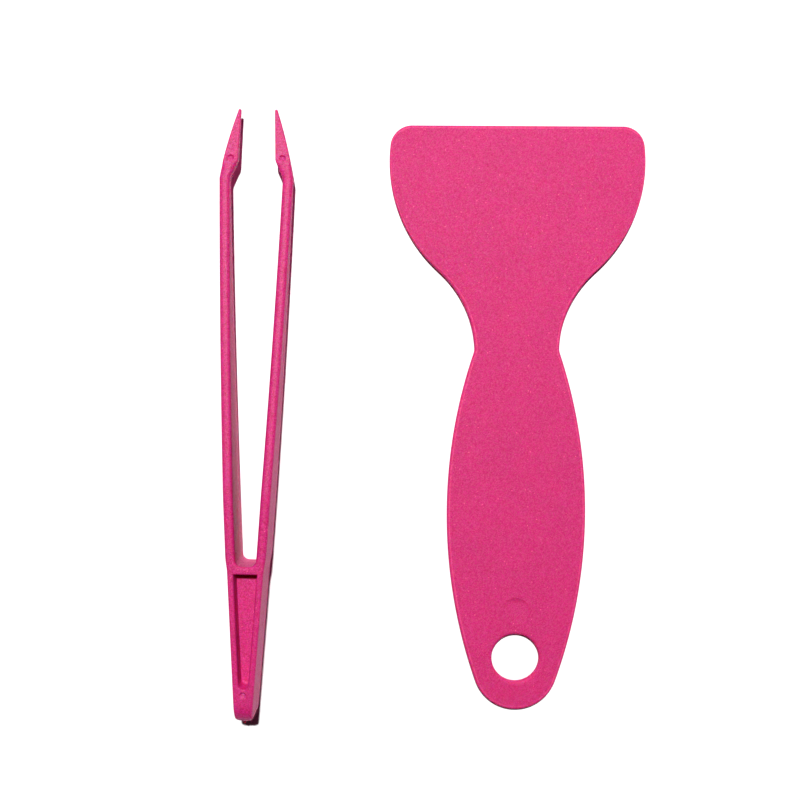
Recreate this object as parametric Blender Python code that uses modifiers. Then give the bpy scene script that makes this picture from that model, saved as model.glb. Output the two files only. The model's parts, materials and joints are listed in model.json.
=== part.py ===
"""A matched pair of moulded bench tools: a wide-bladed spudger and fine-point tweezers.

The spudger is one flat moulding. The tweezers are one moulding too, and their arms bend.
They are built as a heel and two arms, parted at the line about which each arm turns when
it is squeezed.

Frame: metres, +Z up. The tools lie flat on Z = 0 with their working ends towards +Y, and
the origin is the centre of the pair's footprint. Each tool has its own frame as well,
which starts at the middle of its handle end and runs along +Y to its working end.
"""

import math

import bmesh
import bpy
from mathutils import Matrix, Vector

MM = 0.001

# The spudger, measured along Y from its handle end.
SPUDGER_LENGTH = 117.3 * MM
BLADE_WIDTH = 51.6 * MM
BLADE_CORNER_RADIUS = 4.4 * MM
BLADE_SIDE_RADIUS = 29.55 * MM
BLADE_WIDEST_Y = 110.1 * MM
NECK_RADIUS = 21.9 * MM
WAIST_WIDTH = 17.0 * MM
WAIST_Y = 71.6 * MM
WAIST_FILLET = 3.0 * MM
HANDLE_WIDTH = 27.8 * MM
HANDLE_WIDEST_Y = 39.5 * MM
HANDLE_END_RADIUS = 8.5 * MM
HANDLE_THICKNESS = 1.6 * MM
BLADE_EDGE_THICKNESS = 0.8 * MM
HANGING_HOLE_RADIUS = 4.75 * MM
HANGING_HOLE_Y = 10.3 * MM
SPUDGER_EDGE_ROUNDING = 0.35 * MM

# The tweezers, measured along Y from their heel end. Half widths are from the centre line.
TWEEZERS_LENGTH = 120.6 * MM
HEEL_DEPTH = 9.4 * MM
HEEL_FLAT_Y = 44.0 * MM
HEEL_END_HALF_WIDTH = 1.68 * MM
HEEL_END_RADIUS = 1.6 * MM
HEEL_TOP_Y = 30.1 * MM
HEEL_TOP_HALF_WIDTH = 3.6 * MM
CROTCH_Y = 30.7 * MM
CROTCH_HALF_GAP = 1.97 * MM
CROTCH_RADIUS = 1.4 * MM
POCKET_TOP_Y = 29.15 * MM
POCKET_TOP_WIDTH = 4.5 * MM
POCKET_END_Y = 7.3 * MM
POCKET_END_RADIUS = 0.93 * MM
WEB_THICKNESS = 3.4 * MM
ARM_ROOT_Y = CROTCH_Y + CROTCH_RADIUS
ARM_ROOT_HALF_WIDTH = 3.98 * MM
ARM_ROOT_THICKNESS = ARM_ROOT_HALF_WIDTH - CROTCH_HALF_GAP
ARM_BOW = 0.25 * MM
KINK_Y = 106.7 * MM
KINK_HALF_WIDTH = 7.32 * MM
KINK_THICKNESS = 2.1 * MM
KINK_BACK = 2.2 * MM
KINK_FRONT = 4.4 * MM
TIP_BASE_Y = 110.2 * MM
TIP_BASE_HALF_GAP = 3.7 * MM
TIP_HALF_GAP = 3.35 * MM
TIP_WIDTH = 0.55 * MM
TIP_BACK = 2.3 * MM
TIP_FRONT = 3.2 * MM
TWEEZERS_EDGE_ROUNDING = 0.2 * MM
ARM_STEPS = 12

# A bending arm turns about a point 0.15 of its length out from its root.
FLEX_SHARE = 0.15
FLEX_Y = CROTCH_Y + FLEX_SHARE * (TWEEZERS_LENGTH - CROTCH_Y)
FLEX_GAP = 0.3 * MM

# How the pair lies: the tweezers stand to the left and lean a little to the right.
TWEEZERS_LEAN = 0.64
TOOL_SPACING = 53.3 * MM
TWEEZERS_DROP = 1.0 * MM

# How far a flat facet may stand inside the arc that it stands for.
ARC_TOLERANCE = 0.02 * MM
HOLE_SIDES = 40

# How far a cutting tool reaches past what it cuts.
BEYOND = 2 * MM

GLITTER_PINK = (0.73, 0.054, 0.21, 1.0)


def clear_scene():
    """Removes whatever the scene holds."""
    for obj in list(bpy.data.objects):
        bpy.data.objects.remove(obj)


def new_collection(name):
    """A collection in the scene, under this name."""
    collection = bpy.data.collections.new(name)
    bpy.context.scene.collection.children.link(collection)
    return collection


def moulded_plastic(name):
    """Matte glitter-pink plastic with its own name for each sub-part."""
    material = bpy.data.materials.new(name)
    material.use_nodes = True
    shader = material.node_tree.nodes["Principled BSDF"]
    shader.inputs["Base Color"].default_value = GLITTER_PINK
    shader.inputs["Roughness"].default_value = 0.42
    shader.inputs["Metallic"].default_value = 0.0
    return material


def arc(centre, radius, start, end):
    """Points along an arc between two angles in radians, close enough to look round."""
    widest_step = 2 * math.acos(1 - ARC_TOLERANCE / radius)
    steps = math.ceil(abs(end - start) / widest_step)
    angles = [start + (end - start) * i / steps for i in range(steps + 1)]
    return [(centre[0] + radius * math.cos(a), centre[1] + radius * math.sin(a)) for a in angles]


def heading(start, end):
    """The angle of the line from one point to another."""
    return math.atan2(end[1] - start[1], end[0] - start[0])


def x_on_circle(centre_x, distance, offset_y):
    """The X at which a point offset in Y lies at a distance from a centre, on its +X side."""
    return centre_x + math.sqrt(distance**2 - offset_y**2)


def circles_cross(centre_a, radius_a, centre_b, radius_b):
    """The crossing of two circles that lies to the left of the line from a to b."""
    span = math.dist(centre_a, centre_b)
    bend = math.acos((span**2 + radius_a**2 - radius_b**2) / (2 * span * radius_a))
    angle = heading(centre_a, centre_b) + bend
    return centre_a[0] + radius_a * math.cos(angle), centre_a[1] + radius_a * math.sin(angle)


def mirrored(right_side):
    """A closed outline from its right side, which runs from the top to the bottom."""
    left_side = [(-x, y) for x, y in reversed(right_side) if abs(x) > 1e-9]
    return right_side + left_side


def spudger_outline():
    """The spudger's plan: arcs that meet tangentially, from the blade's edge to the handle's end."""
    side = (BLADE_WIDTH / 2 - BLADE_SIDE_RADIUS, BLADE_WIDEST_Y)
    corner_y = SPUDGER_LENGTH - BLADE_CORNER_RADIUS
    corner_reach = BLADE_SIDE_RADIUS - BLADE_CORNER_RADIUS
    corner = (x_on_circle(side[0], corner_reach, corner_y - side[1]), corner_y)
    neck = (WAIST_WIDTH / 2 + NECK_RADIUS, WAIST_Y)
    end = (0.0, HANDLE_END_RADIUS)
    handle_rise = HANDLE_WIDEST_Y - HANDLE_END_RADIUS
    half = HANDLE_WIDTH / 2
    handle_radius = half**2 + handle_rise**2 - HANDLE_END_RADIUS**2
    handle_radius /= 2 * (half - HANDLE_END_RADIUS)
    handle = (half - handle_radius, HANDLE_WIDEST_Y)
    fillet = circles_cross(
        handle, handle_radius + WAIST_FILLET, neck, NECK_RADIUS - WAIST_FILLET
    )

    corner_to_side = heading(side, corner)
    slack = math.acos((BLADE_SIDE_RADIUS + NECK_RADIUS) / math.dist(side, neck))
    side_to_neck = heading(side, neck) + slack
    neck_to_fillet = heading(neck, fillet) % (2 * math.pi)
    fillet_to_handle = heading(fillet, handle) % (2 * math.pi)
    handle_to_end = heading(handle, end)

    right = [(0.0, SPUDGER_LENGTH)]
    right += arc(corner, BLADE_CORNER_RADIUS, math.pi / 2, corner_to_side)
    right += arc(side, BLADE_SIDE_RADIUS, corner_to_side, side_to_neck)[1:]
    right += arc(neck, NECK_RADIUS, side_to_neck + math.pi, neck_to_fillet)
    right += arc(fillet, WAIST_FILLET, neck_to_fillet, fillet_to_handle)[1:]
    right += arc(handle, handle_radius, heading(handle, fillet), handle_to_end)[1:]
    right += arc(end, HANDLE_END_RADIUS, handle_to_end, -math.pi / 2)[1:]
    return mirrored(right)


def arm_outer_x(share):
    """How far out the arm's outer side is, at this share of the way from root to kink."""
    straight = ARM_ROOT_HALF_WIDTH + (KINK_HALF_WIDTH - ARM_ROOT_HALF_WIDTH) * share
    return straight + ARM_BOW * 4 * share * (1 - share)


def arm_thickness(share):
    """How thick the arm is, at this share of the way from root to kink."""
    return ARM_ROOT_THICKNESS + (KINK_THICKNESS - ARM_ROOT_THICKNESS) * share


def arm_edges():
    """The right arm's outer and inner sides, from its root to its kink."""
    shares = [i / ARM_STEPS for i in range(ARM_STEPS + 1)]
    along = [ARM_ROOT_Y + (KINK_Y - ARM_ROOT_Y) * share for share in shares]
    outer = [(arm_outer_x(share), y) for share, y in zip(shares, along)]
    inner = [(x - arm_thickness(share), y) for share, (x, y) in zip(shares, outer)]
    return outer, inner


def tweezers_outline():
    """The tweezers' plan: the heel, two bowed arms, a kink in each arm and a slanting point."""
    heel_corner = (HEEL_END_HALF_WIDTH - HEEL_END_RADIUS, HEEL_END_RADIUS)
    heel = arc(heel_corner, HEEL_END_RADIUS, -math.pi / 2, 0)
    point_radius = TIP_WIDTH / 2
    point = (TIP_HALF_GAP + point_radius, TWEEZERS_LENGTH - point_radius)
    outer, inner = arm_edges()
    crotch_corner = (CROTCH_HALF_GAP - CROTCH_RADIUS, ARM_ROOT_Y)

    outwards = heel + [(HEEL_TOP_HALF_WIDTH, HEEL_TOP_Y)] + outer
    inwards = [(TIP_BASE_HALF_GAP, TIP_BASE_Y)] + list(reversed(inner))
    inwards += arc(crotch_corner, CROTCH_RADIUS, 0, -math.pi / 2)[1:]
    right = outwards + arc(point, point_radius, 0, math.pi) + inwards
    return mirrored(list(reversed(right)))


def tweezers_side_profile():
    """The tweezers seen from the side, as height against length.

    The heel's end is half round. Past the heel, both faces close in towards the points,
    which stand clear of the plane that the heel lies on.
    """
    middle = HEEL_DEPTH / 2
    end = arc((middle, middle), middle, math.pi / 2, 1.5 * math.pi)
    share = BEYOND / (TWEEZERS_LENGTH - KINK_Y)
    past_the_points = TWEEZERS_LENGTH + BEYOND
    back = [
        (HEEL_FLAT_Y, 0.0),
        (KINK_Y, KINK_BACK),
        (past_the_points, TIP_BACK + (TIP_BACK - KINK_BACK) * share),
    ]
    front = [
        (past_the_points, TIP_FRONT + (TIP_FRONT - KINK_FRONT) * share),
        (KINK_Y, KINK_FRONT),
        (HEEL_FLAT_Y, HEEL_DEPTH),
    ]
    return end + back + front


def pocket_outline():
    """The tapering pocket in the heel: square at the top, round at the bottom."""
    centre = (0.0, POCKET_END_Y + POCKET_END_RADIUS)
    right = [(POCKET_TOP_WIDTH / 2, POCKET_TOP_Y)]
    right += arc(centre, POCKET_END_RADIUS, 0, -math.pi / 2)
    return mirrored(right)


def flat_solid(name, outline, thickness, collection):
    """A closed plate with this outline, from Z = 0 up to its thickness."""
    curve = bpy.data.curves.new(name, "CURVE")
    curve.dimensions = "2D"
    curve.fill_mode = "BOTH"
    curve.extrude = thickness / 2
    spline = curve.splines.new("POLY")
    spline.points.add(len(outline) - 1)
    for point, (x, y) in zip(spline.points, outline):
        point.co = (x, y, 0, 1)
    spline.use_cyclic_u = True
    plate = bpy.data.objects.new(name, curve)
    collection.objects.link(plate)
    bpy.context.view_layer.update()
    evaluated = plate.evaluated_get(bpy.context.evaluated_depsgraph_get())
    mesh = bpy.data.meshes.new_from_object(evaluated)
    bpy.data.objects.remove(plate)

    mesh.name = name
    tidy = bmesh.new()
    tidy.from_mesh(mesh)
    bmesh.ops.remove_doubles(tidy, verts=tidy.verts, dist=0.001 * MM)
    bmesh.ops.dissolve_limit(
        tidy, angle_limit=math.radians(0.01), verts=tidy.verts, edges=tidy.edges
    )
    bmesh.ops.translate(tidy, verts=tidy.verts, vec=(0, 0, thickness / 2))
    bmesh.ops.recalc_face_normals(tidy, faces=tidy.faces)
    tidy.to_mesh(mesh)
    tidy.free()
    solid = bpy.data.objects.new(name, mesh)
    collection.objects.link(solid)
    return solid


def make_cutter(obj, parent=None):
    """Marks an object as a cutting tool, which isn't part of the pair."""
    obj.hide_render = True
    obj.display_type = "WIRE"
    obj.parent = parent
    return obj


def box_cutter(name, low, high, collection, parent=None):
    """A box between two corners, as a cutting tool."""
    mesh = bpy.data.meshes.new(name)
    shape = bmesh.new()
    bmesh.ops.create_cube(shape, size=1)
    size = [b - a for a, b in zip(low, high)]
    middle = [(a + b) / 2 for a, b in zip(low, high)]
    bmesh.ops.scale(shape, verts=shape.verts, vec=size)
    bmesh.ops.translate(shape, verts=shape.verts, vec=middle)
    shape.to_mesh(mesh)
    shape.free()
    cutter = bpy.data.objects.new(name, mesh)
    collection.objects.link(cutter)
    return make_cutter(cutter, parent)


def add_boolean(obj, cutter, operation):
    """Cuts obj by the cutter, or keeps only what lies inside it."""
    modifier = obj.modifiers.new(cutter.name, "BOOLEAN")
    modifier.operation = operation
    modifier.object = cutter


def round_edges(obj, width):
    """Rounds the moulding's edges but leaves its outline's shallow corners alone."""
    modifier = obj.modifiers.new("rounded edges", "BEVEL")
    modifier.width = width
    modifier.segments = 2
    modifier.limit_method = "ANGLE"
    modifier.angle_limit = math.radians(40)


def shade(obj, material):
    """Gives obj its material, smooth except at its real corners."""
    obj.data.materials.append(material)
    obj.data.shade_smooth()
    obj.data.set_sharp_from_angle(angle=math.radians(30))


def blade_taper_cutter(collection, parent):
    """What is removed above the blade, so that it thins from the waist to its edge."""
    slope = (BLADE_EDGE_THICKNESS - HANDLE_THICKNESS) / (SPUDGER_LENGTH - WAIST_Y)
    far = SPUDGER_LENGTH + BEYOND
    high = HANDLE_THICKNESS + BEYOND
    profile = [
        (WAIST_Y, HANDLE_THICKNESS),
        (far, BLADE_EDGE_THICKNESS + slope * BEYOND),
        (far, high),
        (WAIST_Y, high),
    ]
    return side_extrusion("blade_taper_cutter", profile, BLADE_WIDTH + BEYOND, collection, parent)


def side_extrusion(name, profile, width, collection, parent):
    """A cutting tool with this profile in the YZ plane, across a width centred on the axis."""
    solid = flat_solid(name, profile, width, collection)
    turn = Matrix(((0, 0, 1, -width / 2), (1, 0, 0, 0), (0, 1, 0, 0), (0, 0, 0, 1)))
    solid.data.transform(turn)
    return make_cutter(solid, parent)


def build_spudger(place, parts, cutters):
    """The wide-bladed spudger, with its thinning blade and its hanging hole."""
    spudger = flat_solid("spudger", spudger_outline(), HANDLE_THICKNESS, parts)
    spudger.parent = place
    add_boolean(spudger, blade_taper_cutter(cutters, place), "DIFFERENCE")

    mesh = bpy.data.meshes.new("hanging_hole_cutter")
    shape = bmesh.new()
    bmesh.ops.create_cone(
        shape,
        cap_ends=True,
        segments=HOLE_SIDES,
        radius1=HANGING_HOLE_RADIUS,
        radius2=HANGING_HOLE_RADIUS,
        depth=3 * HANDLE_THICKNESS,
    )
    bmesh.ops.translate(shape, verts=shape.verts, vec=(0, HANGING_HOLE_Y, HANDLE_THICKNESS / 2))
    shape.to_mesh(mesh)
    shape.free()
    hole = bpy.data.objects.new(mesh.name, mesh)
    cutters.objects.link(hole)
    add_boolean(spudger, make_cutter(hole, place), "DIFFERENCE")
    round_edges(spudger, SPUDGER_EDGE_ROUNDING)
    shade(spudger, moulded_plastic("spudger_plastic"))


def tweezers_cutters(cutters, place):
    """The tools that shape the whole tweezers moulding: its side profile and its two pockets."""
    profile = side_extrusion(
        "side_profile_cutter", tweezers_side_profile(), 4 * KINK_HALF_WIDTH, cutters, place
    )
    pocket_depth = (HEEL_DEPTH - WEB_THICKNESS) / 2
    pockets = []
    for side, low in (("back", -pocket_depth), ("front", HEEL_DEPTH - pocket_depth)):
        name = side + "_pocket_cutter"
        pocket = flat_solid(name, pocket_outline(), 2 * pocket_depth, cutters)
        pocket.data.transform(Matrix.Translation((0, 0, low)))
        pockets.append(make_cutter(pocket, place))
    return profile, pockets


def flex_x():
    """How far from the centre line the middle of each arm is where it turns."""
    share = (FLEX_Y - ARM_ROOT_Y) / (KINK_Y - ARM_ROOT_Y)
    return arm_outer_x(share) - arm_thickness(share) / 2


def tweezers_piece(name, keep, origin, shapers, place, parts):
    """One piece of the tweezers moulding: the part of it inside the box called keep."""
    profile, pockets = shapers
    piece = flat_solid(name, tweezers_outline(), HEEL_DEPTH + 2 * BEYOND, parts)
    piece.data.transform(Matrix.Translation((-origin[0], -origin[1], -BEYOND)))
    piece.parent = place
    piece.location = (origin[0], origin[1], 0)
    add_boolean(piece, profile, "INTERSECT")
    for pocket in pockets:
        add_boolean(piece, pocket, "DIFFERENCE")
    round_edges(piece, TWEEZERS_EDGE_ROUNDING)
    add_boolean(piece, keep, "INTERSECT")
    shade(piece, moulded_plastic(name + "_plastic"))


def build_tweezers(place, parts, cutters):
    """The fine-point tweezers, as a heel and two arms that meet at the flexing lines."""
    shapers = tweezers_cutters(cutters, place)
    side = 2 * KINK_HALF_WIDTH
    high = HEEL_DEPTH + BEYOND
    heel_end = FLEX_Y - FLEX_GAP / 2
    arm_start = FLEX_Y + FLEX_GAP / 2
    far = TWEEZERS_LENGTH + BEYOND
    heel = box_cutter(
        "heel_region", (-side, -BEYOND, -BEYOND), (side, heel_end, high), cutters, place
    )
    right = box_cutter(
        "right_arm_region", (0, arm_start, -BEYOND), (side, far, high), cutters, place
    )
    left = box_cutter(
        "left_arm_region", (-side, arm_start, -BEYOND), (0, far, high), cutters, place
    )
    tweezers_piece("tweezers_heel", heel, (0, 0), shapers, place, parts)
    tweezers_piece("tweezers_right_arm", right, (flex_x(), FLEX_Y), shapers, place, parts)
    tweezers_piece("tweezers_left_arm", left, (-flex_x(), FLEX_Y), shapers, place, parts)


def placed(outline, location, lean):
    """An outline's points after its tool has been turned clockwise by lean and moved."""
    turn = Matrix.Rotation(-math.radians(lean), 2)
    return [tuple(turn @ Vector(point) + Vector(location)) for point in outline]


def layout():
    """Where the spudger's and the tweezers' frames go, so that the pair's footprint is centred."""
    tweezers_at = (0.0, 0.0)
    spudger_at = (TOOL_SPACING, TWEEZERS_DROP)
    points = placed(tweezers_outline(), tweezers_at, TWEEZERS_LEAN)
    points += placed(spudger_outline(), spudger_at, 0)
    middle_x = (min(p[0] for p in points) + max(p[0] for p in points)) / 2
    middle_y = (min(p[1] for p in points) + max(p[1] for p in points)) / 2
    return [(x - middle_x, y - middle_y, 0) for x, y in (spudger_at, tweezers_at)]


def new_place(name, location, lean, parts):
    """An empty that carries one tool's own frame."""
    place = bpy.data.objects.new(name, None)
    place.location = location
    place.rotation_euler.z = -math.radians(lean)
    parts.objects.link(place)
    return place


def main():
    clear_scene()
    parts = new_collection("moulded_bench_tool_pair")
    cutters = new_collection("cutters")
    spudger_at, tweezers_at = layout()
    spudger_place = new_place("spudger_place", spudger_at, 0, parts)
    tweezers_place = new_place("tweezers_place", tweezers_at, TWEEZERS_LEAN, parts)
    build_spudger(spudger_place, parts, cutters)
    build_tweezers(tweezers_place, parts, cutters)
    bpy.context.view_layer.update()


main()
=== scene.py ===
"""The looks of the moulded bench tool pair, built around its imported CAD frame.

The wide-bladed spudger and the fine-point tweezers get fine skins in glitter-pink plastic.
The tweezers are one moulding, so their skin is modelled whole and then parted at the roots
of the arms, and each arm's skin bends between the heel and its own body.

Each tool is modelled in millimetres in its own frame, which starts at the middle of its
handle end and runs along +Y to its working end. It is modelled as a plate of constant
depth first. Then its depth is scaled along Y, which carries its rounded edges along.
"""

import json
import math

import bmesh
import bpy
from mathutils import Matrix, Vector
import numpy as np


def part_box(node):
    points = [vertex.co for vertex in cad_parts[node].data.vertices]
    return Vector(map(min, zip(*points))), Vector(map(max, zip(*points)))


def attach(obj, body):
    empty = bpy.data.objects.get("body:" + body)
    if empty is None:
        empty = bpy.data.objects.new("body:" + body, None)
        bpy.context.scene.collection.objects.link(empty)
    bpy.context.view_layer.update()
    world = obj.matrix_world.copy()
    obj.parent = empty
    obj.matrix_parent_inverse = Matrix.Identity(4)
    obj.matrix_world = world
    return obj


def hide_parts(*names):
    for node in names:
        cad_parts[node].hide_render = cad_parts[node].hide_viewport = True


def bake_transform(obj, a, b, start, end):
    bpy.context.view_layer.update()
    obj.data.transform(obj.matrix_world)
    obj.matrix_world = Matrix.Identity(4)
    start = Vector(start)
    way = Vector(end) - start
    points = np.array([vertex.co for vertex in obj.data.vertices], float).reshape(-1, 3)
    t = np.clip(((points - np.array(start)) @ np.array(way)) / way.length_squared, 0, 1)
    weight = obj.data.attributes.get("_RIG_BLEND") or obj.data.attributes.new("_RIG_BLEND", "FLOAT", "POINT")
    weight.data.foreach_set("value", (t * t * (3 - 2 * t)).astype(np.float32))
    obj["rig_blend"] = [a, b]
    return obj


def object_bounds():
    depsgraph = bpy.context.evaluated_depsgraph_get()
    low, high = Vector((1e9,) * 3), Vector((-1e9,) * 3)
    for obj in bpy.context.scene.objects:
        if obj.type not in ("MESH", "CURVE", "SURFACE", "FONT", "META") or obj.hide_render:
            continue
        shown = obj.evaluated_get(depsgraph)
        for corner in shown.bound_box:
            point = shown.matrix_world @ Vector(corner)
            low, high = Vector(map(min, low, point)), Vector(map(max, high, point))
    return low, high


MM = 0.001

# The spudger's plan. Its length, blade width and thickness come from the frame.
BLADE_CORNER_RADIUS = 4.4
BLADE_SIDE_RADIUS = 29.55
BLADE_WIDEST_Y = 110.1
BLADE_EDGE_THICKNESS = 0.8
NECK_RADIUS = 21.9
WAIST_WIDTH = 17.0
WAIST_Y = 71.6
WAIST_FILLET = 3.0
HANDLE_WIDTH = 27.8
HANDLE_WIDEST_Y = 39.5
HANDLE_END_RADIUS = 8.5
HOLE_RADIUS = 4.75
HOLE_Y = 10.3

# The tweezers' plan. Half widths are from the centre line.
TWEEZERS_LENGTH = 120.6
HEEL_FLAT_Y = 44.0
HEEL_END_HALF_WIDTH = 1.68
HEEL_END_RADIUS = 1.6
HEEL_END_ROLL = 4.2
HEEL_TOP_Y = 30.1
HEEL_TOP_HALF_WIDTH = 3.6
CROTCH_Y = 30.7
CROTCH_HALF_GAP = 1.97
CROTCH_RADIUS = 1.4
POCKET_TOP_Y = 29.15
POCKET_TOP_WIDTH = 4.5
POCKET_END_Y = 7.3
POCKET_END_RADIUS = 0.93
WEB_THICKNESS = 3.4
ARM_ROOT_Y = CROTCH_Y + CROTCH_RADIUS
ARM_ROOT_HALF_WIDTH = 3.98
ARM_ROOT_THICKNESS = ARM_ROOT_HALF_WIDTH - CROTCH_HALF_GAP
ARM_BOW = 0.25
KINK_Y = 106.7
KINK_HALF_WIDTH = 7.32
KINK_THICKNESS = 2.1
KINK_BACK = 2.2
KINK_FRONT = 4.4
TIP_BASE_Y = 110.2
TIP_BASE_HALF_GAP = 3.7
TIP_HALF_GAP = 3.35
TIP_RADIUS = 0.275
TIP_BOW = 0.27
TIP_BACK = 2.3
TIP_FRONT = 3.2
FLEX_SHARE = 0.15
FLEX_Y = CROTCH_Y + FLEX_SHARE * (TWEEZERS_LENGTH - CROTCH_Y)
SEAM_Y = ARM_ROOT_Y + 1.0
BEND_END_Y = CROTCH_Y + 2 * FLEX_SHARE * (TWEEZERS_LENGTH - CROTCH_Y)

# Marks that moulding leaves: where pins pushed the tools out, and where the plastic went in.
HANDLE_PIN = {"centre": (0.0, 19.7), "radius": 2.65, "depth": 0.13, "edge": 0.07, "tilt": 0.35}
HEEL_PIN = {"centre": (0.0, 5.95), "radius": 0.72, "depth": 0.30, "edge": 0.12, "tilt": 0.48}
TIP_PIN = {"centre": (5.13, 110.55), "radius": 0.7, "depth": 0.26, "edge": 0.09, "tilt": 0.48}
GATE_X = -0.35
GATE_RADIUS = 0.4
GATE_LENGTH = 0.8

# How far an edge's rounding reaches in over the face, and how far it drops down the wall.
EDGE_REACH = 0.6
BLADE_SIDE_EASE = 0.28
EDGE_DROP = 0.38
HOLE_EDGE_REACH = 0.65
HOLE_EDGE_DROP = 0.4
HEEL_REACH = 0.5
HEEL_DROP = 0.45
ARM_REACH_SHARE = 0.86
ARM_DROP = 0.7
TIP_REACH = 0.24
TIP_REACH_SHARE = 0.72
TIP_DROP = 0.22
DEEPEST_DROP_SHARE = 0.3

DRAFT = math.tan(math.radians(0.5))
ARC_TOLERANCE = 0.003
ROUND_STEPS = 8
SUPPORT = 1.08
EASE_STEP = 0.8
SHARP_ANGLE = math.radians(42)

# Linear colours and the light.
SPUDGER_PINK = (0.535, 0.0045, 0.109)
TWEEZERS_PINK = (0.465, 0.0035, 0.094)
DEEPER = 0.94
PALE_PINK = (0.90, 0.03, 0.38)
# Glitter flake colour; it also paints a highlight along the spudger's rims.
FLAKE_AND_HIGHLIGHT_PINK = (0.95, 0.10, 0.30)
KEY_PLACE = (-0.03, 0.34, 0.80)
KEY_SIZE = 0.04
KEY_POWER = 10.2
FILL_STRENGTH = 0.006
BACKDROP_STRENGTH = 1.0
FLOOR_SIZE = 0.8
FLOOR_GAP = 0.02
CAMERA_PLACE = (-6.605, 2.61)
CAMERA_HEIGHT = 180.0
CAMERA_VIEW = 48.4
CAMERA_ROLL = 0.314


def arc(centre, radius, start, end):
    """Points along an arc between two angles in radians."""
    widest_step = 2 * math.acos(1 - ARC_TOLERANCE / radius)
    steps = max(2, math.ceil(abs(end - start) / widest_step))
    angles = [start + (end - start) * i / steps for i in range(steps + 1)]
    return [(centre[0] + radius * math.cos(a), centre[1] + radius * math.sin(a)) for a in angles]


def heading(start, end):
    """The angle of the line from one point to another."""
    return math.atan2(end[1] - start[1], end[0] - start[0])


def smooth(low, high, value):
    """Rises smoothly from 0 at low to 1 at high."""
    t = min(1.0, max(0.0, (value - low) / (high - low)))
    return t * t * (3 - 2 * t)


def mirrored(right_side):
    """A closed outline from its right side, which has the material on its right hand."""
    left_side = [(-x, y) for x, y in reversed(right_side) if abs(x) > 1e-6]
    return right_side + left_side


def divided(path, longest):
    """The same path with no step longer than this."""
    points = [path[0]]
    for start, end in zip(path, path[1:]):
        count = max(1, math.ceil(math.dist(start, end) / longest))
        for i in range(1, count + 1):
            points.append(tuple(Vector(start).lerp(Vector(end), i / count)))
    return points


def filleted(before, corner, after, radius):
    """An arc of this radius in place of a corner."""
    corner = Vector(corner)
    back = (Vector(before) - corner).normalized()
    on = (Vector(after) - corner).normalized()
    half = back.angle(on) / 2
    centre = corner + (back + on).normalized() * radius / math.sin(half)
    start = heading(centre, corner + back * radius / math.tan(half))
    end = heading(centre, corner + on * radius / math.tan(half))
    end -= 2 * math.pi * round((end - start) / (2 * math.pi))
    return arc(centre, radius, start, end)


def inward(outline):
    """For each point of a closed outline, the way into the material, scaled for its corner."""
    ways = []
    for i, point in enumerate(outline):
        before = Vector(point) - Vector(outline[i - 1])
        after = Vector(outline[(i + 1) % len(outline)]) - Vector(point)
        first = Vector((before.y, -before.x)).normalized()
        second = Vector((after.y, -after.x)).normalized()
        way = (first + second).normalized()
        ways.append(way / max(0.6, way.dot(first)))
    return ways


def add_row(shape, outline, ways, insets, heights, rim=0.0):
    """One closed row of points, moved into the material by insets, at these heights."""
    layer = shape.verts.layers.float["rim"]
    row = []
    for (x, y), way, inset, height in zip(outline, ways, insets, heights):
        vert = shape.verts.new((x + way.x * inset, y + way.y * inset, height))
        # rim is this row's share of the painted highlight along the rims.
        vert[layer] = rim
        row.append(vert)
    return row


def join_rows(shape, lower, upper):
    """Faces between two closed rows of points."""
    for i in range(len(lower)):
        shape.faces.new((lower[i - 1], lower[i], upper[i], upper[i - 1]))


def fill_between(shape, rows):
    """Fills the flat region that these closed rows of points bound."""
    edges = [shape.edges.get((row[i - 1], row[i])) for row in rows for i in range(len(row))]
    bmesh.ops.triangle_fill(shape, use_beauty=True, edges=edges, normal=(0, 0, 1))


def add_rounding(shape, outline, ways, wall, reach, drop, face, side, rim_highlight):
    """Rows over a rounded edge, from the wall to the flat face, and one more on the face.

    side is 1 at the front. The last row keeps the rounding's shading off the flat face.
    """
    rows = []
    for step in range(ROUND_STEPS + 1):
        angle = math.pi / 2 * step / ROUND_STEPS
        across = 1 - math.cos(angle)
        down = 1 - math.sin(angle)
        insets = [w + (r - w) * across for w, r in zip(wall, reach)]
        heights = [face - side * d * down for d in drop]
        rows.append(add_row(shape, outline, ways, insets, heights, rim_highlight[step] if rim_highlight else 0.0))
    insets = [r * SUPPORT for r in reach]
    rows.append(add_row(shape, outline, ways, insets, [face] * len(outline)))
    for lower, upper in zip(rows, rows[1:]):
        join_rows(shape, lower, upper)
    return rows[0], rows[-1]


def add_walls(shape, outline, depth, stretch, reach, drop, levels, rim_highlight=None):
    """The moulding's outer wall with its parting line, rounded to both faces.

    stretch is how much deeper the plate is than the true shape at each point. levels are
    true distances from the parting line. It returns the back and front faces' border rows.
    """
    ways = inward(outline)
    middle = depth / 2
    wall = [DRAFT * middle / s for s in stretch]
    tall = [d * s for d, s in zip(drop, stretch)]
    back_wall, back = add_rounding(shape, outline, ways, wall, reach, tall, 0.0, -1, None)
    # The front rounding's rows carry the painted highlight along the rims.
    front_wall, front = add_rounding(shape, outline, ways, wall, reach, tall, depth, 1, rim_highlight)
    widest = 1.1 * max(level for level, _ in levels)
    tight = [min(1.0, (middle / s - d) / widest) for s, d in zip(stretch, drop)]
    below = back_wall
    for level, inset in levels:
        insets = [inset + abs(level) * DRAFT] * len(outline)
        heights = [middle + level * t * s for t, s in zip(tight, stretch)]
        row = add_row(shape, outline, ways, insets, heights)
        join_rows(shape, below, row)
        below = row
    join_rows(shape, below, front_wall)
    return back, front


def parting_line(height, half_width, beyond):
    """Levels for add_walls: a fine ridge at the parting line, and plain wall beyond it."""
    above = [(away, 0.0) for away in beyond]
    below = [(-away, 0.0) for away in reversed(beyond)]
    return below + [(-half_width, 0.0), (0.0, -height), (half_width, 0.0)] + above


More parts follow.
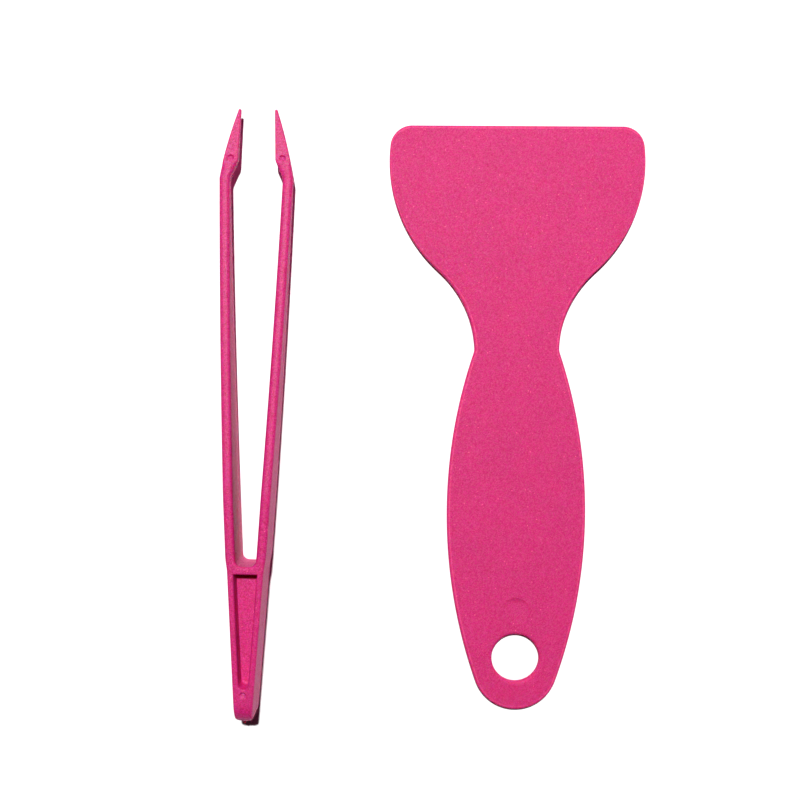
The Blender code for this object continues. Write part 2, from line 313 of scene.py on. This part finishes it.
def add_pin_mark(shape, pin, face, stretch, x_side=1):
    """The mark of a pin: a shallow tilted disc, deepest at the top, with a slightly raised rim."""
    centre = (pin["centre"][0] * x_side, pin["centre"][1])
    circle = arc(centre, pin["radius"], 0, 2 * math.pi)[:-1]
    ways = inward(circle)
    rows = []
    for inset, share in ((1.2, 0.0), (0.8, 0.0), (0.4, -0.12), (0.0, 0.0), (-2.5, 1.0)):
        heights = []
        for point in circle:
            angle = heading(centre, point)
            sunk = 1 - pin["tilt"] * (1 - math.sin(angle))
            heights.append(face - share * sunk * pin["depth"] * stretch)
        rows.append(add_row(shape, circle, ways, [inset * pin["edge"]] * len(circle), heights))
    for outer, inner in zip(rows, rows[1:]):
        join_rows(shape, outer, inner)
    fill_between(shape, [rows[-1]])
    return rows[0]


def cut_across(shape, places):
    """Gives the skin points along these lines across the tool, so that it can curve there."""
    for y in places:
        geometry = shape.verts[:] + shape.edges[:] + shape.faces[:]
        bmesh.ops.bisect_plane(shape, geom=geometry, plane_co=(0, y, 0), plane_no=(0, 1, 0), dist=1e-4)


def new_shape():
    """An empty shape that can remember where the painted highlight along its rims goes."""
    shape = bmesh.new()
    shape.verts.layers.float.new("rim")
    return shape


def skin(name, shape, place, material):
    """A smooth object from a shape in millimetres, placed in the frame."""
    bmesh.ops.recalc_face_normals(shape, faces=shape.faces[:])
    mesh = bpy.data.meshes.new(name)
    shape.to_mesh(mesh)
    moulded = mesh.attributes.new("moulded_at", "FLOAT_VECTOR", "POINT")
    for vert, value in zip(mesh.vertices, moulded.data):
        value.vector = vert.co
    mesh.transform(place @ Matrix.Scale(MM, 4))
    mesh.shade_smooth()
    mesh.set_sharp_from_angle(angle=SHARP_ANGLE)
    mesh.materials.append(material)
    obj = bpy.data.objects.new(name, mesh)
    bpy.context.scene.collection.objects.link(obj)
    normals = obj.modifiers.new("flat faces stay flat", "WEIGHTED_NORMAL")
    normals.keep_sharp = True
    return obj


# The spudger.


def x_on_circle(centre_x, distance, offset_y):
    """The X at which a point offset in Y lies at a distance from a centre, on its +X side."""
    return centre_x + math.sqrt(distance**2 - offset_y**2)


def circles_cross(centre_a, radius_a, centre_b, radius_b):
    """The crossing of two circles that lies to the left of the line from a to b."""
    span = math.dist(centre_a, centre_b)
    bend = math.acos((span**2 + radius_a**2 - radius_b**2) / (2 * span * radius_a))
    angle = heading(centre_a, centre_b) + bend
    return centre_a[0] + radius_a * math.cos(angle), centre_a[1] + radius_a * math.sin(angle)


def spudger_outline(length, blade_width):
    """The spudger's plan: arcs that meet tangentially, from the blade's edge to the handle's end."""
    side = (blade_width / 2 - BLADE_SIDE_RADIUS, BLADE_WIDEST_Y)
    corner_y = length - BLADE_CORNER_RADIUS
    corner_reach = BLADE_SIDE_RADIUS - BLADE_CORNER_RADIUS
    corner = (x_on_circle(side[0], corner_reach, corner_y - side[1]), corner_y)
    neck = (WAIST_WIDTH / 2 + NECK_RADIUS, WAIST_Y)
    end = (0.0, HANDLE_END_RADIUS)
    half = HANDLE_WIDTH / 2
    handle_radius = half**2 + (HANDLE_WIDEST_Y - HANDLE_END_RADIUS) ** 2 - HANDLE_END_RADIUS**2
    handle_radius /= 2 * (half - HANDLE_END_RADIUS)
    handle = (half - handle_radius, HANDLE_WIDEST_Y)
    fillet = circles_cross(
        handle, handle_radius + WAIST_FILLET, neck, NECK_RADIUS - WAIST_FILLET
    )

    corner_to_side = heading(side, corner)
    slack = math.acos((BLADE_SIDE_RADIUS + NECK_RADIUS) / math.dist(side, neck))
    side_to_neck = heading(side, neck) + slack
    neck_to_fillet = heading(neck, fillet) % (2 * math.pi)
    fillet_to_handle = heading(fillet, handle) % (2 * math.pi)
    handle_to_end = heading(handle, end)

    right = [(0.0, length)]
    right += arc(corner, BLADE_CORNER_RADIUS, math.pi / 2, corner_to_side)
    right += arc(side, BLADE_SIDE_RADIUS, corner_to_side, side_to_neck)[1:]
    right += arc(neck, NECK_RADIUS, side_to_neck + math.pi, neck_to_fillet)
    right += arc(fillet, WAIST_FILLET, neck_to_fillet, fillet_to_handle)[1:]
    right += arc(handle, handle_radius, heading(handle, fillet), handle_to_end)[1:]
    right += arc(end, HANDLE_END_RADIUS, handle_to_end, -math.pi / 2)[1:]
    return mirrored(divided(right, 1.0))


def build_spudger_skin(material):
    """The spudger with its thinning blade, rounded edges, hanging hole and pin mark."""
    low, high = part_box("spudger")
    length = (high.y - low.y) / MM
    thickness = high.z / MM
    outline = spudger_outline(length, (high.x - low.x) / MM)

    def depth_at(y):
        """The blade thins towards its edge, slowly at first."""
        share = max(0.0, (y - WAIST_Y) / (length - WAIST_Y))
        return thickness - (thickness - BLADE_EDGE_THICKNESS) * share**1.5

    def edge_reach(y):
        """The edge is rounded less along the blade's sides than elsewhere."""
        along_blade = smooth(80, 96, y) - smooth(length - 2.5, length - 0.5, y)
        return EDGE_REACH - BLADE_SIDE_EASE * along_blade

    shape = new_shape()
    stretch = [thickness / depth_at(y) for _, y in outline]
    reach = [edge_reach(y) for _, y in outline]
    drop = [min(EDGE_DROP, DEEPEST_DROP_SHARE * depth_at(y)) for _, y in outline]
    levels = parting_line(0.02, 0.02, [0.1])
    # How much painted highlight each row of the front rounding carries, brightest near the top of the
    # rounding.
    rim_highlight = [0, 0, 0, 0, 0, 0.15, 0.5, 1.0, 0.6]
    back, front = add_walls(shape, outline, thickness, stretch, reach, drop, levels, rim_highlight)

    hole = arc((0.0, HOLE_Y), HOLE_RADIUS, 0, 2 * math.pi)[:-1]
    flat = [1.0] * len(hole)
    hole_reach = [HOLE_EDGE_REACH] * len(hole)
    hole_drop = [HOLE_EDGE_DROP] * len(hole)
    hole_back, hole_front = add_walls(shape, hole, thickness, flat, hole_reach, hole_drop, levels)
    pin = add_pin_mark(shape, HANDLE_PIN, thickness, 1.0)
    fill_between(shape, [front, hole_front, pin])
    fill_between(shape, [back, hole_back])

    cuts = 18
    cut_across(shape, [WAIST_Y + (length - WAIST_Y) * i / cuts for i in range(cuts)])
    for vert in shape.verts:
        vert.co.z *= depth_at(vert.co.y) / thickness
    place = Matrix.Translation(((low.x + high.x) / 2, low.y, 0))
    piece = skin("spudger_skin", shape, place, material)
    shape.free()
    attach(piece, "spudger")
    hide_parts("spudger")


# The tweezers.


def arm_outer_x(y):
    """How far out the right arm's outer side is, between its root and its kink."""
    share = (y - ARM_ROOT_Y) / (KINK_Y - ARM_ROOT_Y)
    straight = ARM_ROOT_HALF_WIDTH + (KINK_HALF_WIDTH - ARM_ROOT_HALF_WIDTH) * share
    return straight + ARM_BOW * 4 * share * (1 - share)


def arm_inner_x(y):
    """How far out the right arm's inner side is, between its root and its kink."""
    share = (y - ARM_ROOT_Y) / (KINK_Y - ARM_ROOT_Y)
    return arm_outer_x(y) - ARM_ROOT_THICKNESS - (KINK_THICKNESS - ARM_ROOT_THICKNESS) * share


def tip_outer_x(y):
    """How far out the right tip's slanting outer side is, between the kink and the point."""
    end_y = TWEEZERS_LENGTH - TIP_RADIUS
    share = min(1.0, (y - KINK_Y) / (end_y - KINK_Y))
    straight = KINK_HALF_WIDTH + (TIP_HALF_GAP + 2 * TIP_RADIUS - KINK_HALF_WIDTH) * share
    return straight + TIP_BOW * 4 * share * (1 - share)


def tweezers_outline():
    """The tweezers' plan: the heel, two bowed arms, a kink in each arm and a slanting point."""
    corner = (HEEL_END_HALF_WIDTH, 0.0)
    shoulder = (HEEL_TOP_HALF_WIDTH, HEEL_TOP_Y)
    arm_ys = [ARM_ROOT_Y + (KINK_Y - ARM_ROOT_Y) * i / 60 for i in range(61)]
    outer = [(arm_outer_x(y), y) for y in arm_ys]
    inner = [(arm_inner_x(y), y) for y in arm_ys]
    point = (TIP_HALF_GAP + TIP_RADIUS, TWEEZERS_LENGTH - TIP_RADIUS)
    tip = arc(point, TIP_RADIUS, 0, math.pi)
    slant_ys = [KINK_Y + (point[1] - KINK_Y) * i / 14 for i in range(1, 14)]
    slant = [(tip_outer_x(y), y) for y in slant_ys]
    base = (TIP_BASE_HALF_GAP, TIP_BASE_Y)

    right = [(0.0, 0.0)] + filleted((0.0, 0.0), corner, shoulder, HEEL_END_RADIUS)
    right += filleted(corner, shoulder, outer[0], 12.0)
    right += filleted(shoulder, outer[0], outer[1], 12.0) + outer[1:-1]
    right += filleted(outer[-2], outer[-1], slant[0], 1.5) + slant + tip
    right += filleted(tip[-1], base, inner[-1], 1.2)
    right += filleted(base, inner[-1], inner[-2], 2.5) + inner[-2:0:-1]
    crotch_corner = (CROTCH_HALF_GAP - CROTCH_RADIUS, ARM_ROOT_Y)
    right += arc(crotch_corner, CROTCH_RADIUS, 0, -math.pi / 2) + [(0.0, CROTCH_Y)]
    right = divided(right, 0.5)
    return mirrored(list(reversed(right)))


def pocket_outline():
    """The tapering pocket in the heel, with the material on its right hand."""
    centre = (0.0, POCKET_END_Y + POCKET_END_RADIUS)
    right = [(POCKET_TOP_WIDTH / 2, POCKET_TOP_Y)]
    right += arc(centre, POCKET_END_RADIUS, 0, -math.pi / 2)
    top = [(0.0, POCKET_TOP_Y)]
    return list(reversed(mirrored(divided(top + right, 0.6))))


def half_width(y):
    """Half the width of the heel's solid end, of an arm or of a tip."""
    if y < ARM_ROOT_Y:
        return ARM_ROOT_THICKNESS / 2
    if y < KINK_Y:
        return (arm_outer_x(y) - arm_inner_x(y)) / 2
    if y < TIP_BASE_Y:
        share = (y - KINK_Y) / (TIP_BASE_Y - KINK_Y)
        start = KINK_HALF_WIDTH - KINK_THICKNESS
        return (tip_outer_x(y) - start - (TIP_BASE_HALF_GAP - start) * share) / 2
    share = min(1.0, (y - TIP_BASE_Y) / (TWEEZERS_LENGTH - TIP_RADIUS - TIP_BASE_Y))
    return (tip_outer_x(y) - TIP_BASE_HALF_GAP - (TIP_HALF_GAP - TIP_BASE_HALF_GAP) * share) / 2


class Depth:
    """Where the tweezers' back and front are along their length, and how the plate maps there."""

    def __init__(self, heel_depth):
        self.heel = heel_depth

    def straight(self, y):
        """Back and front: level along the heel, then closing in to the kink and the point."""
        if y < HEEL_FLAT_Y:
            return 0.0, self.heel
        if y < KINK_Y:
            share = (y - HEEL_FLAT_Y) / (KINK_Y - HEEL_FLAT_Y)
            return KINK_BACK * share, self.heel + (KINK_FRONT - self.heel) * share
        share = (y - KINK_Y) / (TWEEZERS_LENGTH - KINK_Y)
        back = KINK_BACK + (TIP_BACK - KINK_BACK) * share
        return back, KINK_FRONT + (TIP_FRONT - KINK_FRONT) * share

    def faces(self, y):
        """The same back and front with their corners eased."""
        near = [self.straight(y + EASE_STEP * i) for i in range(-2, 3)]
        return sum(back for back, _ in near) / 5, sum(front for _, front in near) / 5

    def roll(self, y):
        """How far the heel's end rolls away from each face."""
        if y >= HEEL_END_ROLL:
            return 0.0
        rise = HEEL_END_ROLL - max(0.0, y)
        return HEEL_END_ROLL - math.sqrt(HEEL_END_ROLL**2 - rise**2)

    def span(self, y):
        """The true depth from back to front."""
        back, front = self.faces(y)
        return front - back - 2 * self.roll(y)

    def stretch(self, y):
        """How much deeper the flat plate is than the true shape."""
        return self.heel / self.span(y)

    def true_height(self, y, height):
        """The true height of a point of the flat plate."""
        return self.faces(y)[0] + self.roll(y) + height / self.stretch(y)


def add_pocket(shape, depth, side):
    """One of the heel's two pockets: rounded rim, steep wall, fillet and floor."""
    outline = pocket_outline()
    ways = inward(outline)
    deep = (depth.heel - WEB_THICKNESS) / 2
    rim = [(0.36, 0.0), (0.30, 0.0), (0.17, 0.06), (0.07, 0.18), (0.0, 0.38)]
    fillet = [(-0.05, deep - 0.15), (-0.09, deep - 0.05), (-0.19, deep)]
    rows = []
    for inset, down in rim + fillet:
        height = depth.heel - down if side > 0 else down
        insets = [inset] * len(outline)
        rows.append(add_row(shape, outline, ways, insets, [height] * len(outline)))
    for upper, lower in zip(rows, rows[1:]):
        join_rows(shape, upper, lower)
    fill_between(shape, [rows[-1]])
    return rows[0]


def add_gate(shape, depth):
    """The stub where the plastic went in, at the middle of the heel's end."""
    middle = depth.heel / 2
    for vert in shape.verts:
        if vert.co.y > 0.3:
            continue
        away = math.hypot(vert.co.x - GATE_X, vert.co.z - middle) / GATE_RADIUS
        if away < 1.4:
            vert.co.y -= GATE_LENGTH * (1 - smooth(0.35, 1.25, away))


def tweezers_moulding(depth):
    """The whole tweezers moulding as one closed shape in its own frame."""
    shape = new_shape()
    outline = tweezers_outline()
    stretch = [depth.stretch(y) for _, y in outline]
    reach = []
    drop = []
    for _, y in outline:
        arm = ARM_REACH_SHARE * half_width(y)
        tip = min(TIP_REACH, TIP_REACH_SHARE * half_width(y))
        on_arm = smooth(ARM_ROOT_Y - 3, ARM_ROOT_Y + 3, y)
        on_tip = smooth(TIP_BASE_Y - 1.6, TIP_BASE_Y, y)
        rounded = HEEL_REACH + (arm - HEEL_REACH) * on_arm
        reach.append(rounded + (tip - rounded) * on_tip)
        deep = HEEL_DROP + (ARM_DROP - HEEL_DROP) * on_arm
        deep += (TIP_DROP - deep) * on_tip
        drop.append(min(deep, DEEPEST_DROP_SHARE * depth.span(y)))
    levels = parting_line(0.025, 0.03, [0.1, 0.2, 0.3, 0.45])
    back, front = add_walls(shape, outline, depth.heel, stretch, reach, drop, levels)
    fronts = [front, add_pocket(shape, depth, 1)]
    fronts.append(add_pin_mark(shape, HEEL_PIN, depth.heel, 1.0))
    tip_stretch = depth.stretch(TIP_PIN["centre"][1])
    for x_side in (1, -1):
        fronts.append(add_pin_mark(shape, TIP_PIN, depth.heel, tip_stretch, x_side))
    fill_between(shape, fronts)
    fill_between(shape, [back, add_pocket(shape, depth, -1)])

    roll = [HEEL_END_ROLL * (1 - math.cos(math.radians(a))) for a in range(8, 91, 8)]
    wedge_start = [HEEL_FLAT_Y + EASE_STEP * i for i in range(-3, 4)]
    cut_across(shape, roll + wedge_start)
    for vert in shape.verts:
        vert.co.z = depth.true_height(vert.co.y, vert.co.z)
    add_gate(shape, depth)
    return shape


def part_at_seam(shape, keep_arm, x_side):
    """A copy of the moulding's heel, or of one arm, closed at the seam."""
    piece = shape.copy()
    geometry = piece.verts[:] + piece.edges[:] + piece.faces[:]
    bmesh.ops.bisect_plane(
        piece,
        geom=geometry,
        plane_co=(0, SEAM_Y, 0),
        plane_no=(0, 1, 0),
        clear_inner=keep_arm,
        clear_outer=not keep_arm,
        dist=1e-4,
    )
    if keep_arm:
        other = [v for v in piece.verts if v.co.x * x_side < 0]
        bmesh.ops.delete(piece, geom=other, context="VERTS")
    rim = [e for e in piece.edges if e.is_boundary]
    bmesh.ops.holes_fill(piece, edges=rim, sides=0)
    return piece


def tweezers_place(frame):
    """Where the tweezers' own frame is: the arms' hinges stand either side of its axis."""
    pivots = {j["name"]: Vector(j["pos_m"]) for j in frame["joints"] if "pos_m" in j}
    right = pivots["right_arm_squeeze"]
    left = pivots["left_arm_squeeze"]
    across = right - left
    lean = math.atan2(across.y, across.x)
    turn = Matrix.Rotation(lean, 4, "Z")
    middle = (left + right) / 2
    start = Vector((middle.x, middle.y, 0)) - turn @ Vector((0, FLEX_Y * MM, 0))
    return Matrix.Translation(start) @ turn


def build_tweezers_skins(frame, material):
    """The tweezers' heel, which rides, and its two arms, which bend from the heel."""
    low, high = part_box("tweezers_heel")
    depth = Depth((high.z - low.z) / MM)
    place = tweezers_place(frame)
    whole = tweezers_moulding(depth)

    heel = part_at_seam(whole, False, 0)
    piece = skin("tweezers_heel_skin", heel, place, material)
    heel.free()
    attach(piece, "tweezers_heel")
    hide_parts("tweezers_heel")

    start = place @ Vector((0, (SEAM_Y + 0.5) * MM, 0))
    end = place @ Vector((0, BEND_END_Y * MM, 0))
    for side, x_side in (("right", 1), ("left", -1)):
        arm = part_at_seam(whole, True, x_side)
        node = "tweezers_" + side + "_arm"
        piece = skin(node + "_skin", arm, place, material)
        arm.free()
        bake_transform(piece, "tweezers_heel", node, start=start, end=end)
        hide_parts(node)
    whole.free()


# Materials.


class Nodes:
    """Adds shader nodes to one material and links them."""

    def __init__(self, name):
        self.material = bpy.data.materials.new(name)
        self.material.use_nodes = True
        self.tree = self.material.node_tree
        self.shader = self.tree.nodes["Principled BSDF"]

    def link(self, value, socket):
        """Feeds a socket from another socket, or sets it."""
        if isinstance(value, bpy.types.NodeSocket):
            self.tree.links.new(value, socket)
        else:
            socket.default_value = value

    def attribute(self, name, output):
        """A value that the mesh carries."""
        node = self.tree.nodes.new("ShaderNodeAttribute")
        node.attribute_name = name
        return node.outputs[output]

    def noise(self, place, scale, detail=2.0, roughness=0.5):
        """Noise between 0 and 1, with this many waves a millimetre."""
        node = self.tree.nodes.new("ShaderNodeTexNoise")
        node.inputs["Scale"].default_value = scale
        node.inputs["Detail"].default_value = detail
        node.inputs["Roughness"].default_value = roughness
        self.link(place, node.inputs["Vector"])
        return node.outputs["Fac"]

    def cells(self, place, scale):
        """Random cells: how far it is to the nearest cell's centre, and that cell's colour."""
        node = self.tree.nodes.new("ShaderNodeTexVoronoi")
        node.inputs["Scale"].default_value = scale
        self.link(place, node.inputs["Vector"])
        return node.outputs["Distance"], node.outputs["Color"]

    def split(self, colour):
        """The first two channels of a colour."""
        node = self.tree.nodes.new("ShaderNodeSeparateColor")
        self.link(colour, node.inputs["Color"])
        return node.outputs["Red"], node.outputs["Green"]

    def span(self, value, low, high, to_low=0.0, to_high=1.0):
        """Maps low to high onto another span, smoothly and clamped."""
        node = self.tree.nodes.new("ShaderNodeMapRange")
        node.interpolation_type = "SMOOTHSTEP"
        self.link(value, node.inputs["Value"])
        node.inputs["From Min"].default_value = low
        node.inputs["From Max"].default_value = high
        node.inputs["To Min"].default_value = to_low
        node.inputs["To Max"].default_value = to_high
        return node.outputs["Result"]

    def math(self, operation, first, second):
        """A sum, product or other operation on two values."""
        node = self.tree.nodes.new("ShaderNodeMath")
        node.operation = operation
        self.link(first, node.inputs[0])
        self.link(second, node.inputs[1])
        return node.outputs["Value"]

    def mix(self, share, first, second):
        """One colour going over to another."""
        node = self.tree.nodes.new("ShaderNodeMix")
        node.data_type = "RGBA"
        self.link(share, node.inputs["Factor"])
        for colour, socket in ((first, "A"), (second, "B")):
            if isinstance(colour, tuple):
                colour = (*colour, 1.0)
            self.link(colour, [s for s in node.inputs if s.name == socket and s.type == "RGBA"][0])
        return [s for s in node.outputs if s.type == "RGBA"][0]

    def bump(self, height, depth, strength=1.0, under=None):
        """Relief of this depth in metres."""
        node = self.tree.nodes.new("ShaderNodeBump")
        node.inputs["Distance"].default_value = depth
        node.inputs["Strength"].default_value = strength
        self.link(height, node.inputs["Height"])
        if under:
            self.link(under, node.inputs["Normal"])
        return node.outputs["Normal"]


def glitter_plastic(name, pink, sparkle, grain, relief, roughness, gloss):
    """Moulded pink plastic: mottled, grained and faintly translucent, with glitter and a painted highlight
    along its rims.

    sparkle is how much paler its small specks are, and relief is its grain's depth in mm.
    """
    nodes = Nodes(name)
    place = nodes.attribute("moulded_at", "Vector")
    mottle = nodes.noise(place, 0.16, 3.0)
    fine = nodes.noise(place, grain, 3.0, 0.6)
    deep = tuple(channel * DEEPER for channel in pink)
    colour = nodes.mix(nodes.span(mottle, 0.3, 0.7), deep, pink)
    _, tint = nodes.cells(place, 6.0)
    speck, shine = nodes.split(tint)
    colour = nodes.mix(nodes.math("MULTIPLY", speck, sparkle), colour, PALE_PINK)

    near, tint = nodes.cells(place, 2.2)
    rare, _ = nodes.split(tint)
    chosen = nodes.span(rare, 0.965, 0.985)
    flake = nodes.math("MULTIPLY", chosen, nodes.span(near, 0.15, 0.35, 1.0, 0.0))
    colour = nodes.mix(nodes.math("MULTIPLY", flake, 0.8), colour, FLAKE_AND_HIGHLIGHT_PINK)

    # Painted highlight: rows marked as rim are painted paler pink, broken up by noise, as light catching the
    # top of the edge rounding.
    highlight_breakup = nodes.noise(place, 1.1, 2.0)
    rim = nodes.math("MULTIPLY", nodes.attribute("rim", "Fac"), nodes.span(highlight_breakup, 0.35, 0.6, 0.15, 0.5))
    colour = nodes.mix(rim, colour, FLAKE_AND_HIGHLIGHT_PINK)
    nodes.link(colour, nodes.shader.inputs["Base Color"])
    nodes.link(
        nodes.span(fine, 0.3, 0.7, roughness - 0.06, roughness + 0.08),
        nodes.shader.inputs["Roughness"],
    )
    normal = nodes.bump(fine, relief * MM)
    nodes.link(normal, nodes.shader.inputs["Normal"])
    nodes.shader.inputs["IOR"].default_value = 1.5
    shine = nodes.span(shine, 0.0, 1.0, 0.5 * gloss, 1.5 * gloss)
    nodes.link(shine, nodes.shader.inputs["Specular IOR Level"])
    nodes.shader.inputs["Subsurface Weight"].default_value = 0.7
    nodes.shader.inputs["Subsurface Radius"].default_value = (1.0, 0.02, 0.03)
    nodes.shader.inputs["Subsurface Scale"].default_value = 1.1 * MM
    return nodes.material


def white_table():
    """The pale tabletop."""
    material = bpy.data.materials.new("white_table")
    material.use_nodes = True
    shader = material.node_tree.nodes["Principled BSDF"]
    shader.inputs["Base Color"].default_value = (0.98, 0.98, 0.98, 1)
    shader.inputs["Roughness"].default_value = 0.9
    shader.inputs["Specular IOR Level"].default_value = 0.0
    return material


# The stage.


def add_stage(bounds):
    """A white floor, a key light beyond the working ends, and pale surroundings.

    The surroundings look white to the camera but light the tools only a little.
    """
    bpy.ops.mesh.primitive_plane_add(size=FLOOR_SIZE, location=(0, 0, bounds[0][2] - FLOOR_GAP * MM))
    floor = bpy.context.object
    floor.name = "floor"
    floor.data.materials.append(white_table())

    key = bpy.data.lights.new("key", "AREA")
    key.shape = "DISK"
    key.size = KEY_SIZE
    key.energy = KEY_POWER
    lamp = bpy.data.objects.new("key", key)
    lamp.location = KEY_PLACE
    lamp.rotation_euler = Vector(lamp.location).to_track_quat("Z", "Y").to_euler()
    bpy.context.scene.collection.objects.link(lamp)

    world = bpy.data.worlds.new("surroundings")
    bpy.context.scene.world = world
    world.use_nodes = True
    nodes = world.node_tree.nodes
    seen = nodes.new("ShaderNodeLightPath")
    strength = nodes.new("ShaderNodeMapRange")
    strength.inputs["To Min"].default_value = FILL_STRENGTH
    strength.inputs["To Max"].default_value = BACKDROP_STRENGTH
    background = nodes["Background"]
    background.inputs["Color"].default_value = (1, 1, 1, 1)
    world.node_tree.links.new(seen.outputs["Is Camera Ray"], strength.inputs["Value"])
    world.node_tree.links.new(strength.outputs["Result"], background.inputs["Strength"])


def add_camera():
    """Straight down on the pair, as the tools are seen lying on a table."""
    data = bpy.data.cameras.new("camera")
    data.angle = math.radians(CAMERA_VIEW)
    data.clip_start = 0.01
    camera = bpy.data.objects.new("camera", data)
    camera.location = (CAMERA_PLACE[0] * MM, CAMERA_PLACE[1] * MM, CAMERA_HEIGHT * MM)
    camera.rotation_euler = (0, 0, math.radians(CAMERA_ROLL))
    bpy.context.scene.collection.objects.link(camera)
    bpy.context.scene.camera = camera


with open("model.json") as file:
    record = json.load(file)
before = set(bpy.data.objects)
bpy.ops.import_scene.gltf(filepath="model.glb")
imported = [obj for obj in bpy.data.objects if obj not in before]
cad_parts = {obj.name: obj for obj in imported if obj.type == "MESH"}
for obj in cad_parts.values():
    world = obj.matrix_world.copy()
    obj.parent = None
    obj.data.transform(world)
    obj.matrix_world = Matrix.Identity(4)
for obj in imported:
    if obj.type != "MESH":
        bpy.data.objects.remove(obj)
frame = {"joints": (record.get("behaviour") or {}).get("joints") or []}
cad_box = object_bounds()
build_spudger_skin(glitter_plastic("spudger_plastic", SPUDGER_PINK, 0.35, 3.2, 0.010, 0.75, 0.60))
build_tweezers_skins(
    frame, glitter_plastic("tweezers_plastic", TWEEZERS_PINK, 0.50, 3.6, 0.045, 0.58, 0.44)
)
add_stage(cad_box)
add_camera()
bpy.context.scene.view_settings.view_transform = "Standard"
